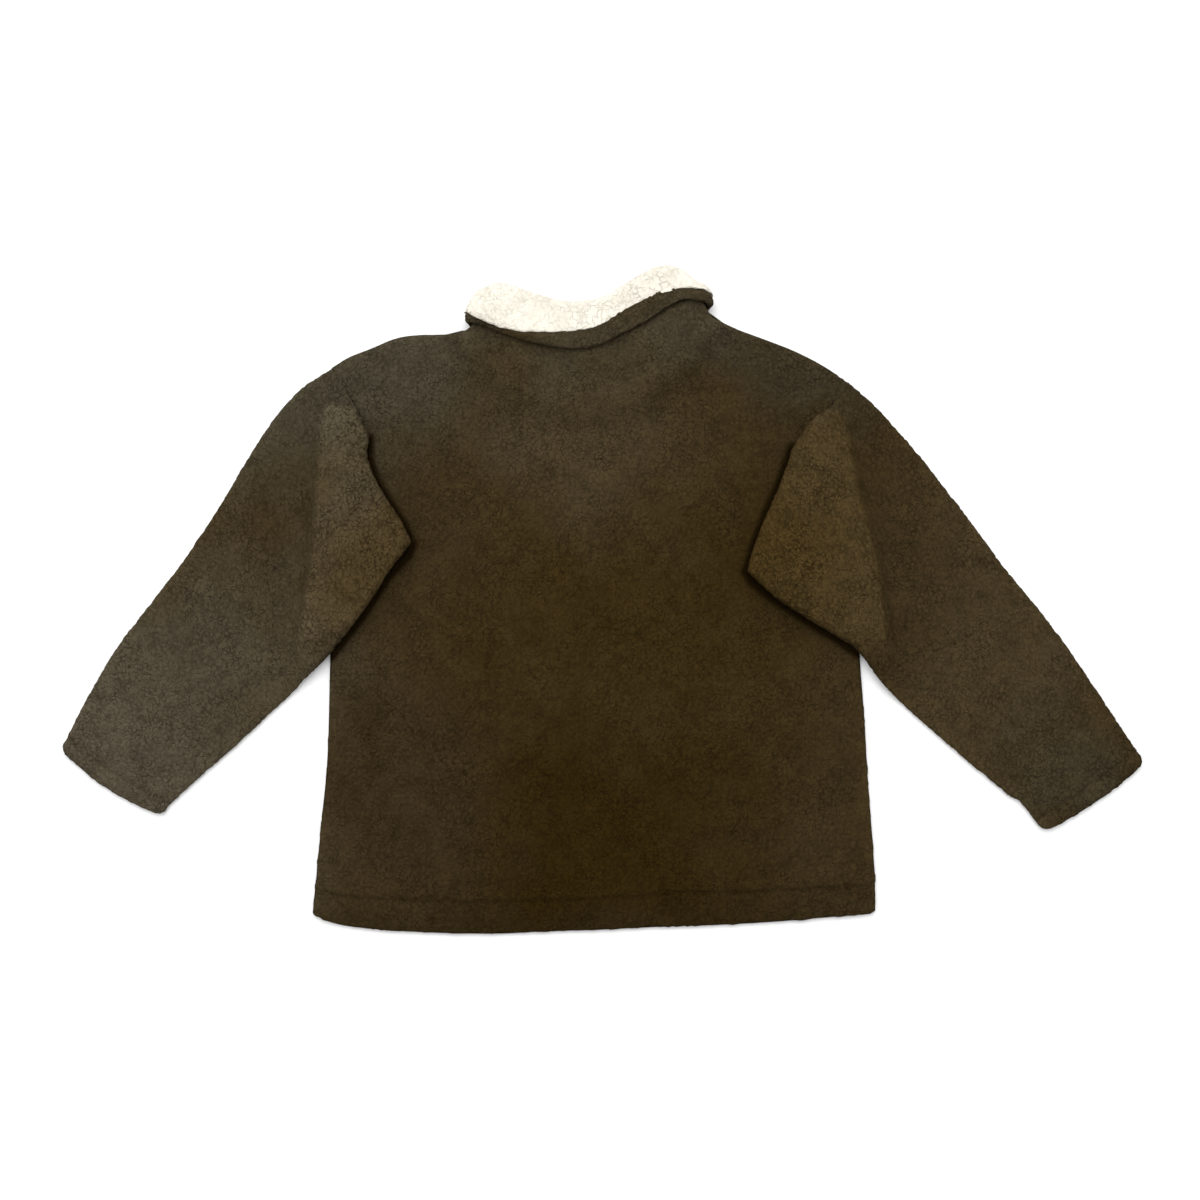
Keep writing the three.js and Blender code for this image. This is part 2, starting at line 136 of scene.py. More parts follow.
# Sherpa is a knitted ground with a brushed polyester pile that rolls up into small
# curls. The curls part along short wandering cracks, deepest where the cloth bends.
# Both the brown fleece and the cream lining take their pile from this one group.
def new_group(name, inputs, outputs):
    """Start a shader group; inputs are (name, default) and outputs (name, socket type)."""
    group = bpy.data.node_groups.new(name, "ShaderNodeTree")
    for label, value in inputs:
        socket = group.interface.new_socket(label, in_out="INPUT", socket_type="NodeSocketFloat")
        socket.default_value = value
    for label, kind in outputs:
        group.interface.new_socket(label, in_out="OUTPUT", socket_type=kind)
    return group


class Wires:
    """Short ways to add nodes to one tree and to join them."""

    def __init__(self, tree):
        self.tree = tree

    def add(self, kind, **settings):
        node = self.tree.nodes.new(kind)
        for key, value in settings.items():
            setattr(node, key, value)
        return node

    def put(self, socket, value):
        if isinstance(value, bpy.types.NodeSocket):
            self.tree.links.new(value, socket)
        else:
            socket.default_value = value

    def math(self, operation, first, second=0.0, clamp=False):
        node = self.add("ShaderNodeMath", operation=operation, use_clamp=clamp)
        self.put(node.inputs[0], first)
        self.put(node.inputs[1], second)
        return node.outputs[0]

    def ramp(self, value, low, high, to_low=0.0, to_high=1.0):
        node = self.add("ShaderNodeMapRange", interpolation_type="SMOOTHSTEP")
        for label, part in (("Value", value), ("From Min", low), ("From Max", high),
                            ("To Min", to_low), ("To Max", to_high)):
            self.put(node.inputs[label], part)
        return node.outputs["Result"]

    def blend(self, factor, first, second, blend_type="MIX"):
        node = self.add("ShaderNodeMix", data_type="RGBA", blend_type=blend_type)
        self.put(node.inputs["Factor"], factor)
        self.put(node.inputs["A"], first)
        self.put(node.inputs["B"], second)
        return node.outputs["Result"]

    def noise(self, place, scale, detail, roughness=0.5):
        node = self.add("ShaderNodeTexNoise")
        self.put(node.inputs["Vector"], place)
        self.put(node.inputs["Scale"], scale)
        self.put(node.inputs["Detail"], detail)
        self.put(node.inputs["Roughness"], roughness)
        return node


curls = new_group(
    "sherpa_curls",
    [("Curls Per Metre", 190.0), ("Parted Share", 0.5), ("Warp", 0.0022)],
    [("Height", "NodeSocketFloat"), ("Cracks", "NodeSocketFloat"), ("Tone", "NodeSocketFloat")],
)
wires = Wires(curls)
curls_in = wires.add("NodeGroupInput").outputs
curls_out = wires.add("NodeGroupOutput").inputs
place = wires.add("ShaderNodeTexCoord").outputs["Object"]
drift = wires.noise(place, 260.0, 2.0)
centred = wires.add("ShaderNodeVectorMath", operation="SUBTRACT")
wires.put(centred.inputs[0], drift.outputs["Color"])
centred.inputs[1].default_value = (0.5, 0.5, 0.5)
pushed = wires.add("ShaderNodeVectorMath", operation="SCALE")
wires.put(pushed.inputs[0], centred.outputs[0])
wires.put(pushed.inputs["Scale"], wires.math("MULTIPLY", curls_in["Warp"], 2.0))
moved = wires.add("ShaderNodeVectorMath", operation="ADD")
wires.put(moved.inputs[0], place)
wires.put(moved.inputs[1], pushed.outputs[0])
borders = wires.add("ShaderNodeTexVoronoi", feature="DISTANCE_TO_EDGE")
wires.put(borders.inputs["Vector"], moved.outputs[0])
wires.put(borders.inputs["Scale"], curls_in["Curls Per Metre"])
closed_share = wires.math("SUBTRACT", 1.0, curls_in["Parted Share"])
patches = wires.noise(place, 17.0, 2.0).outputs["Fac"]
pieces = wires.noise(place, 120.0, 2.0).outputs["Fac"]
low_end = wires.math("SUBTRACT", closed_share, 0.08)
high_end = wires.math("ADD", closed_share, 0.14)
opened = wires.ramp(pieces, low_end, high_end, 0.12, 1.0)
seam_line = wires.math("SUBTRACT", 1.0, wires.ramp(borders.outputs["Distance"], 0.0, 0.13))
fold_scale = wires.math("MULTIPLY", curls_in["Curls Per Metre"], 0.62)
folds = wires.noise(moved.outputs[0], fold_scale, 1.0).outputs["Fac"]
off_level = wires.math("ABSOLUTE", wires.math("SUBTRACT", folds, 0.5))
worm_line = wires.math("SUBTRACT", 1.0, wires.ramp(off_level, 0.0, 0.04))
elsewhere = wires.ramp(pieces, 0.40, 0.56, 1.0, 0.1)
seam_crack = wires.math("MULTIPLY", seam_line, opened)
worm_crack = wires.math("MULTIPLY", worm_line, elsewhere)
crack = wires.math("MAXIMUM", seam_crack, worm_crack)
crack = wires.math("MULTIPLY", crack, wires.ramp(patches, 0.36, 0.60, 0.6, 1.0))
fibres = wires.noise(place, 1100.0, 2.0, 0.6).outputs["Fac"]
tufts = wires.noise(moved.outputs[0], 330.0, 1.0, 0.5).outputs["Fac"]
height = wires.math("ADD", wires.math("MULTIPLY", tufts, 0.6), wires.math("MULTIPLY", fibres, 0.2))
wires.put(curls_out["Height"], wires.math("SUBTRACT", height, wires.math("MULTIPLY", crack, 0.8)))
wires.put(curls_out["Cracks"], crack)
tone = wires.math("ADD", wires.math("MULTIPLY", fibres, 0.45), wires.math("MULTIPLY", tufts, 0.55))
wires.put(curls_out["Tone"], tone)

# The dyed brown drifts between grey-olive and warm darker tones. The drift is wide, partly the fleece's own
# tone
# and partly painted light and shade: pale at the left cuff and shoulder, dark low in the middle of the
# back.
# Its patches were tuned until the render's colours came near the photo's, light and all.
# marks the material reads: the pile's cracks together with painted shade beside the sleeve flaps, and
# painted sheen and highlight together with a darker hem band
CRACK_AND_SHADE_ATTRIBUTE = "pile_crack_and_shade"
PAINTED_LIGHT_ATTRIBUTE = "painted_light_and_hem_band"
FLEECE_OUTER = (0.0435, 0.0290, 0.0120, 1.0)
FLEECE_CRACK_AND_SHADE = (0.0080, 0.0045, 0.0012, 1.0)
# colour, middle, stretch across and along, reach of the full colour and of the last of it
FLEECE_TONE_AND_PAINTED_LIGHT = (
    ((0.0375, 0.0230, 0.0066), (0.05, -0.02), (0.9, 0.8), 0.05, 0.28),
    ((0.0560, 0.0400, 0.0195), (-0.01, 0.19), (0.8, 1.0), 0.03, 0.155),
    ((0.0282, 0.0168, 0.0038), (0.0, -0.24), (0.8, 1.0), 0.02, 0.20),
    ((0.0550, 0.0390, 0.0182), (0.42, -0.11), (1.2, 0.7), 0.05, 0.24),
    ((0.0525, 0.0415, 0.0240), (0.06, 0.28), (0.5, 1.6), 0.03, 0.13),
    ((0.0560, 0.0470, 0.0295), (-0.30, 0.27), (0.9, 0.9), 0.06, 0.24),
    ((0.0800, 0.0665, 0.0435), (-0.53, -0.17), (1.0, 0.8), 0.04, 0.34),
    ((0.0395, 0.0300, 0.0160), (0.20, 0.245), (1.0, 1.0), 0.02, 0.10),
    ((0.0390, 0.0262, 0.0118), (-0.215, -0.215), (1.0, 0.9), 0.03, 0.12),
    ((0.0490, 0.0375, 0.0205), (0.51, -0.19), (1.0, 1.0), 0.03, 0.12),
)


def distance_from(wires, place, centre, stretch):
    """Distance across the floor from a place, counted longer along the axes that stretch names."""
    away = wires.add("ShaderNodeVectorMath", operation="SUBTRACT")
    wires.put(away.inputs[0], place)
    away.inputs[1].default_value = (*centre, 0.0)
    scaled = wires.add("ShaderNodeVectorMath", operation="MULTIPLY")
    wires.put(scaled.inputs[0], away.outputs[0])
    scaled.inputs[1].default_value = (*stretch, 0.0)
    length = wires.add("ShaderNodeVectorMath", operation="LENGTH")
    wires.put(length.inputs[0], scaled.outputs[0])
    return length.outputs["Value"]


def grey_of(wires, value):
    """A colour with the same value in all three channels."""
    colour = wires.add("ShaderNodeCombineColor")
    for channel in colour.inputs:
        wires.put(channel, value)
    return colour.outputs[0]


def sherpa_material(name, base, crack_colour, drift, per_metre, parted, bump, contrast):
    """A brushed pile; drift lists the soft patches of other colours, laid one over the other, for the
    fleece partly its own tone and partly painted light and shade.
    """
    material = bpy.data.materials.new(name)
    material.use_nodes = True
    wires = Wires(material.node_tree)
    shader = material.node_tree.nodes["Principled BSDF"]
    pile = wires.add("ShaderNodeGroup", node_tree=curls)
    pile.inputs["Curls Per Metre"].default_value = per_metre
    pile.inputs["Parted Share"].default_value = parted
    place = wires.add("ShaderNodeTexCoord").outputs["Object"]
    wide = wires.noise(place, 5.0, 3.0).outputs["Fac"]
    uneven = wires.math("MULTIPLY", wires.math("SUBTRACT", wide, 0.5), 0.35)
    ground = base
    # these patches are partly the cloth's own tone and partly painted light and shade
    for colour, middle, stretch, near, far in drift:
        reach = wires.math("ADD", distance_from(wires, place, middle, stretch), uneven)
        ground = wires.blend(wires.ramp(reach, near, far, 1.0, 0.0), ground, (*colour, 1.0))
    # painted light: this mark brightens the pile along edges and on the standing sleeve flaps as painted
    # sheen and highlight, and darkens the hem band
    painted_light_mark = wires.add("ShaderNodeAttribute", attribute_name=PAINTED_LIGHT_ATTRIBUTE).outputs["Fac"]
    tone = wires.ramp(pile.outputs["Tone"], 0.32, 0.68, 1.0 - contrast, 1.0 + contrast)
    blotch = wires.ramp(wires.noise(place, 38.0, 2.0).outputs["Fac"], 0.3, 0.7, 0.93, 1.07)
    tone = wires.math("MULTIPLY", wires.math("MULTIPLY", tone, blotch), wires.math("ADD", painted_light_mark, 1.0))
    ground = wires.blend(1.0, ground, grey_of(wires, tone), "MULTIPLY")
    # the crack mark holds the pile's cracks and stitching, and on the back also painted shade beside the
    # sleeve flaps
    parting_and_shade = wires.add("ShaderNodeAttribute", attribute_name=CRACK_AND_SHADE_ATTRIBUTE).outputs["Fac"]
    calm = wires.ramp(painted_light_mark, 0.15, 0.45, 0.58, 0.82)
    dark = wires.math("MAXIMUM", wires.math("MULTIPLY", pile.outputs["Cracks"], calm), parting_and_shade)
    ground = wires.blend(wires.math("MULTIPLY", dark, 0.92), ground, crack_colour)
    wires.put(shader.inputs["Base Color"], ground)
    wires.put(shader.inputs["Roughness"], wires.ramp(pile.outputs["Tone"], 0.2, 0.8, 1.0, 0.9))
    shader.inputs["Specular IOR Level"].default_value = 0.0
    relief = wires.add("ShaderNodeBump")
    relief.inputs["Strength"].default_value = bump
    relief.inputs["Distance"].default_value = 0.0014
    wires.put(relief.inputs["Height"], pile.outputs["Height"])
    wires.put(shader.inputs["Normal"], relief.outputs["Normal"])
    return material


fleece = sherpa_material("fleece_brown", FLEECE_OUTER, FLEECE_CRACK_AND_SHADE, FLEECE_TONE_AND_PAINTED_LIGHT, 225.0, 0.5, 0.9, 0.16)

# The back and the front are cut alike but for the neck. Each is one cloth, 3.6 mm
# thick with its pile, sewn to the other along the shoulders and sides; the hem is
# turned up once and stitched 30 mm from its edge.
CLOTH = 3.6
GAP = 0.3
EDGE_ROUND = 4.0
EDGE_LEFT = 0.14
FINE = 2.2
COARSE = 4
COLLAR_MIDDLE = -15.5
COLLAR_REACH = 114.5
STAND = CLOTH + 1.5 * GAP
NAP = 0.2
COLLAR_LEVEL = STAND + 3 * CLOTH + 2 * NAP + GAP
SAG_RUN = 45.0
LIFT_CLEAR = 8.0
LIFT_RUN = 30.0
CORNER_RUN = 14.0
BACK_RUN = 50.0
BACK_EASE = 1.2
FRONT_CURVE = 2.2
PILE_DEPTH = 1.2
GROOVE_ROWS = np.array([-3.1, -2.1, -1.3, -0.6, 0.05, 0.7, 1.4, 2.3])
GROOVE_WIDTH = 1.3
SEAM_FILL = 0.97

# reach of the painted shade beside the sleeve flaps, strength of the painted sheen along edges, and how
# much darker the hem band is made
FLAP_SHADE_WIDTH = 6.5
EDGE_PAINTED_SHEEN = 0.2
HEM_DARK = 0.13
CORNER_ROUND = 6.0

hem_line = np.array([
    (-307, -335), (-285, -343), (-240, -348.5), (-172, -352), (-109, -352.5), (-67, -350.5),
    (-4, -348.5), (59, -345.5), (122, -343.5), (185, -340), (240, -335.5), (286, -332),
], float)
side_right = np.array([
    (286, -332), (285, -302), (285, -292), (283, -260), (280, -221), (277, -182),
    (275, -142), (272, -100), (269, -60), (268, -20), (266, 20), (263, 58),
    (257, 95), (247, 128), (232, 149), (218, 163), (212, 178), (224, 192),
    (240, 204), (245, 219), (246, 235),
], float)
shoulder_left = [
    (-286, 243), (-268, 254), (-245, 263), (-218, 274), (-190, 277.5), (-163, 277), (-144, 280.5),
]
shoulder_right = [
    (109, 300), (114, 293.5), (127, 288), (146, 281), (172, 271.5), (200, 260.5), (226, 247.5), (246, 235),
]
# upper edge of each sleeve's folded corner over the back, and its lower edge down to the side
flap_left = [(-247, 168), (-249, 150), (-240, 124), (-226, 101), (-211, 78), (-202, 57)]
flap_right = [(198, 158), (191, 136), (182, 113), (171, 89), (159, 58), (150, 28)]
under_left = [(-207, 46), (-227, 25), (-256, -19), (-272, -40), (-288, -60)]
under_right = [(157, 18), (176, 3), (220, -26), (245, -41), (267, -57)]
# steps from the edge, 1 at the stitching and 2 in plain cloth, and share of the thickness
turn_up = np.array([
    (0, 0.45), (0.04, 0.78), (0.12, 1.05), (0.5, 1.26), (0.82, 1.12), (0.93, 0.86),
    (1.0, 0.5), (1.15, 0.8), (1.4, 0.97), (2, 1),
])
collar_under = {"left": (296, 279, 268, 276), "right": (316, 299, 288, 296)}
collar_front = (257, 219, 207, 215)


def smoothstep(t):
    """A soft step from 0 to 1."""
    t = np.clip(t, 0.0, 1.0)
    return t * t * (3 - 2 * t)


def spline(points, per=12):
    """Knot numbers and points of a smooth line through the given ones."""
    points = np.asarray(points, float)
    ends = np.vstack([2 * points[0] - points[1], points, 2 * points[-1] - points[-2]])
    steps = np.arange((len(points) - 1) * per + 1) / per
    k = np.minimum(steps.astype(int), len(points) - 2)
    t = (steps - k)[:, None]
    a, b, c, d = ends[k], ends[k + 1], ends[k + 2], ends[k + 3]
    bend = (2 * a - 5 * b + 4 * c - d) * t ** 2
    line = 0.5 * (2 * b + (c - a) * t + bend + (3 * b - 3 * c + d - a) * t ** 3)
    return steps, line


def along(line):
    """Length of a line up to each of its points."""
    return np.concatenate([[0.0], np.cumsum(np.hypot(*np.diff(line, axis=0).T))])


def line_distance(line, x, y):
    """Distance from points to a line, negative on the line's left-hand side."""
    nearest = np.full(np.shape(x), np.inf)
    side = np.ones(np.shape(x))
    for (ax, ay), (bx, by) in zip(line[:-1], line[1:]):
        dx, dy = bx - ax, by - ay
        t = np.clip(((x - ax) * dx + (y - ay) * dy) / (dx * dx + dy * dy), 0.0, 1.0)
        near = np.hypot(x - ax - t * dx, y - ay - t * dy)
        closer = near < nearest - 1e-9
        nearest = np.where(closer, near, nearest)
        side = np.where(closer, np.where(dx * (y - ay) - dy * (x - ax) > 0, -1.0, 1.0), side)
    return nearest * side


def spread(length, fine, every, groove=None):
    """Places from 0 to length, close at the ends and the groove; their steps divide by every."""
    ends = np.array([0.0, 0.4, 1.1, 2.1, 3.4, 5.0])
    inner = math.ceil((length - 2 * ends[-1]) / fine)
    while (inner + 2 * len(ends) - 2) % every:
        inner += 1
    middle = np.linspace(ends[-1], length - ends[-1], inner + 1)
    places = np.concatenate([ends[:-1], middle, length - ends[-2::-1]])
    if groove is not None:
        places = np.sort(np.concatenate([places, groove + GROOVE_ROWS]))
    return places


def edge_share(distance):
    """Share of the thickness that is left at a distance from a seam."""
    inside = 1 - np.clip(distance / EDGE_ROUND, 0.0, 1.0)
    return np.maximum(EDGE_LEFT, np.sqrt(np.maximum(0.0, 1 - inside * inside)))


def front_line(column, x):
    """A collar line of the front half across the neck; columns are roll, edge, free, seam."""
    across = (np.asarray(x) - COLLAR_MIDDLE) / COLLAR_REACH
    under = np.where(across < 0, collar_under["left"][column], collar_under["right"][column])
    share = np.minimum(1.0, np.abs(across)) ** FRONT_CURVE
    return collar_front[column] + (under - collar_front[column]) * share


def sag(x, y):
    """How far the back half sinks past the collar's front half."""
    drop = COLLAR_LEVEL - 0.2 + GAP / 2
    return -drop * smoothstep((y - front_line(0, x)) / SAG_RUN)


def front_edge(column):
    """A collar line of the front half with the shoulder points at its ends."""
    x = COLLAR_MIDDLE + COLLAR_REACH * np.linspace(-1, 1, 17)
    return np.vstack([shoulder_left[-1:], np.column_stack([x, front_line(column, x)]), shoulder_right[:1]])


def corner_share(x):
    """1 across the neck, falling to 0 past its corners, where the panels meet."""
    return smoothstep((COLLAR_REACH + STAND - np.abs(x - COLLAR_MIDDLE)) / CORNER_RUN)


def front_lift(x, y):
    """Height of the front panel over the floor near the collar."""
    away = line_distance(front_edge(2), x, y)
    full = COLLAR_LEVEL - STAND - CLOTH + (STAND - GAP / 2) * (1 - corner_share(x))
    return full * smoothstep(1 - (away - LIFT_CLEAR) / LIFT_RUN)


def back_lift(x, y, neck_gap):
    """Height of the back panel over its lie on a flat front, near the collar."""
    away = line_distance(front_edge(3), x, y)
    over_front = smoothstep(1 - (away - LIFT_CLEAR) / BACK_RUN)
    to_stand = smoothstep(1 - neck_gap / (LIFT_RUN / 2))
    step = (STAND - GAP / 2) * corner_share(x)
    ease = BACK_EASE * (1 - to_stand)
    return front_lift(x, y) + (step + ease) * over_front + step * to_stand + sag(x, y)


def corner_inset(from_end, radius):
    """How far the sides draw in near an end, so that its corners are round."""
    inside = 1 - np.clip(from_end / radius, 0.0, 1.0)
    return radius * (1 - np.sqrt(np.maximum(0.0, 1 - inside * inside)))


def soft_noise(a, b, size, seed):
    """Smooth random values from 0 to 1 that change over the given size."""
    table = np.random.default_rng(seed).random((128, 128))
    a, b = a / size, b / size
    i, j = np.floor(a).astype(int), np.floor(b).astype(int)
    u, v = smoothstep(a - i), smoothstep(b - j)
    low = table[i % 128, j % 128] * (1 - u) + table[(i + 1) % 128, j % 128] * u
    high = table[i % 128, (j + 1) % 128] * (1 - u) + table[(i + 1) % 128, (j + 1) % 128] * u
    return low * (1 - v) + high * v


def ragged(a, b, seed):
    """How far the curls stand out past an edge here, at most 1.45 mm either way."""
    return 1.8 * (soft_noise(a, b, 7.5, seed) - 0.5) + 1.1 * (soft_noise(a, b, 3.8, seed + 1) - 0.5)


def cells(a, b, size, seed):
    """Distance to the nearest and to the next of scattered points, in units of their spacing."""
    jitter = np.random.default_rng(seed).random((256, 256, 2))
    a, b = a / size, b / size
    i, j = np.floor(a).astype(int), np.floor(b).astype(int)
    first = np.full(a.shape, 9.0)
    second = np.full(a.shape, 9.0)
    for di in (-1, 0, 1):
        for dj in (-1, 0, 1):
            spot = jitter[(i + di) % 256, (j + dj) % 256]
            far = np.hypot(i + di + spot[..., 0] - a, j + dj + spot[..., 1] - b)
            second = np.minimum(second, np.maximum(first, far))
            first = np.minimum(first, far)
    return first, second


def pile(a, b, seed):
    """Height of the curls over the cloth, from about -1 to 0, and how far they part."""
    warp_a = a + 3.0 * (soft_noise(a, b, 7.0, seed) - 0.5)
    warp_b = b + 3.0 * (soft_noise(a, b, 7.0, seed + 1) - 0.5)
    first, second = cells(warp_a, warp_b, 6.2, seed + 2)
    near, wide = soft_noise(a, b, 13.0, seed + 3), soft_noise(a, b, 60.0, seed + 4)
    opens = smoothstep((near + 0.3 * wide - 0.5) / 0.4)
    crack = np.exp(-((second - first) / 0.26) ** 2) * (0.3 + 0.7 * opens)
    lumps = 0.6 * first ** 2 + 0.3 * soft_noise(a, b, 11.0, seed + 5)
    return -np.clip(lumps + 0.5 * crack, 0.0, 1.2), crack * 0.42


def raise_pile(outer, inner, ring, a, b, depth, seed):
    """Move the outer points in by the pile's height, along the cloth's own normals."""
    rows = np.gradient(outer, axis=0)
    if ring:
        around = np.roll(outer, -1, axis=1) - np.roll(outer, 1, axis=1)
    else:
        around = np.gradient(outer, axis=1)
    normal = np.cross(rows, around)
    normal /= np.maximum(np.linalg.norm(normal, axis=2, keepdims=True), 1e-9)
    outward = outer[::COARSE, ::COARSE] - inner
    sign = np.sign((outward * normal[::COARSE, ::COARSE]).sum(axis=2).mean())
    height, crack = pile(a, b, seed)
    return outer + normal * sign * (height * depth)[..., None], crack


def cloth_object(name, outer, inner, ring, marks, material):
    """A closed wall: a fine outer skin, a plain inner one and a border between them.

    marks holds the values that the material reads from the outer skin, by attribute name.
    """
    fine_rows, fine_columns = outer.shape[:2]
    rows, columns = inner.shape[:2]
    fine = np.arange(fine_rows * fine_columns).reshape(fine_rows, fine_columns)
    plain = fine.size + np.arange(rows * columns).reshape(rows, columns)
    if ring:
        fine = np.hstack([fine, fine[:, :1]])
        plain = np.hstack([plain, plain[:, :1]])
    skin = np.stack([fine[:-1, :-1], fine[:-1, 1:], fine[1:, 1:], fine[1:, :-1]], axis=-1)
    skin = skin.reshape(-1, 4)
    inside = [plain[:-1, :-1], plain[1:, :-1], plain[1:, 1:], plain[:-1, 1:]]
    inside = np.stack(inside, axis=-1).reshape(-1, 4)
    rims = []
    sides = [(fine[0], plain[0], 1), (fine[-1], plain[-1], -1)]
    if not ring:
        sides += [(fine[:, 0], plain[:, 0], -1), (fine[:, -1], plain[:, -1], 1)]
    for edge, back, turn in sides:
        for k in range(len(back) - 1):
            run = edge[k * COARSE:(k + 1) * COARSE + 1]
            loop = [back[k], back[k + 1], *run[::-1]]
            rims.append(loop[::turn])
    rims = np.array(rims)
    points = np.concatenate([outer.reshape(-1, 3), inner.reshape(-1, 3)]) * MM
    points[:, 0] += move_x
    points[:, 1] += move_y
    mesh = bpy.data.meshes.new(name)
    mesh.vertices.add(len(points))
    mesh.vertices.foreach_set("co", points.ravel())
    quads = np.concatenate([skin, inside])
    mesh.loops.add(quads.size + rims.size)
    mesh.loops.foreach_set("vertex_index", np.concatenate([quads.ravel(), rims.ravel()]))
    sizes = np.concatenate([np.full(len(quads), 4), np.full(len(rims), rims.shape[1])])
    mesh.polygons.add(len(sizes))
    mesh.polygons.foreach_set("loop_start", np.concatenate([[0], np.cumsum(sizes)[:-1]]))
    mesh.update(calc_edges=True)
    mesh.polygons.foreach_set("use_smooth", np.ones(len(sizes), bool))
    for label, values in marks.items():
        mark = mesh.attributes.new(label, "FLOAT", "POINT")
        mark.data.foreach_set("value", np.concatenate([values.ravel(), np.zeros(rows * columns)]))
    corners = points[quads]
    first, second = corners[:, 1] - corners[:, 0], corners[:, 2] - corners[:, 0]
    third = corners[:, 3] - corners[:, 0]
    volume = (corners[:, 0] * (np.cross(first, second) + np.cross(second, third))).sum()
    if volume < 0:
        mesh.flip_normals()
    mesh.materials.append(material)
    piece = bpy.data.objects.new(name, mesh)
    scene.collection.objects.link(piece)
    return piece


def stitched(crack, from_groove, a, b, seed):
    """Add the dark line of the stitching, a little uneven along its length."""
    line = np.exp(-(from_groove / GROOVE_WIDTH) ** 2) * (0.1 + 0.4 * soft_noise(a, b, 9.0, seed))
    return np.maximum(crack, line)


_, hem_curve = spline(hem_line)
side_steps, left_curve = spline(side_left)
_, right_curve = spline(side_right)
left_lengths = along(left_curve)


def panel_skin(across, lengths, top, is_back, is_outer):
    """Points of one skin; across holds x at the top, lengths the way up the left side."""
    _, top_curve = spline(top)
    steps = np.interp(lengths, left_lengths, side_steps)[:, None]
    left = [np.interp(steps, side_steps, left_curve[:, axis]) for axis in (0, 1)]
    right = [np.interp(steps, side_steps, right_curve[:, axis]) for axis in (0, 1)]
    rounding = corner_inset(lengths, CORNER_ROUND)[:, None]
    left[0] = left[0] + rounding
    right[0] = right[0] - rounding
    start, finish = np.array(top[0], float), np.array(top[-1], float)
    tall = start[1] - hem_line[0, 1]
    v = (left[1] - hem_line[0, 1]) / tall
    width = finish[0] - start[0]
    u = ((across - start[0]) / width)[None, :]
    hem_x = hem_line[0, 0] + u * (hem_line[-1, 0] - hem_line[0, 0])
    below = (hem_x, np.interp(hem_x, hem_curve[:, 0], hem_curve[:, 1]))
    above = (across[None, :], np.interp(across[None, :], top_curve[:, 0], top_curve[:, 1]))
    place = []
    for axis in (0, 1):
        ends = (1 - v) * (hem_line[0, axis] + u * (hem_line[-1, axis] - hem_line[0, axis]))
        ends = ends + v * (start[axis] + u * (finish[axis] - start[axis]))
        ruled = (1 - v) * below[axis] + v * above[axis] + (1 - u) * left[axis] + u * right[axis]
        place.append(ruled - ends)
    x, y = place
    side_gap = np.minimum(u, 1 - u) * width + 0 * v
    top_gap = (1 - v) * tall + 0 * u
    neck = (across > shoulder_left[-1][0] + 1) & (across < shoulder_right[0][0] - 1)
    pressed = smoothstep(steps - (len(side_left) - 7))
    side_share = 1 - (1 - edge_share(side_gap)) * (1 - SEAM_FILL * pressed)
    shares = np.minimum(side_share, np.where(neck[None, :], 1.0, edge_share(top_gap)))
    hem = np.interp(steps, turn_up[:, 0], turn_up[:, 1]) + 0 * u
    lift = back_lift(x, y, top_gap) if is_back else front_lift(x, y)
    z = CLOTH * np.maximum(1.0, hem) + lift + (GAP if is_back else 0.0)
    if is_outer:
        z = z + (1 if is_back else -1) * CLOTH * hem * shares
    return np.stack([x, y, z], axis=-1), side_gap, top_gap


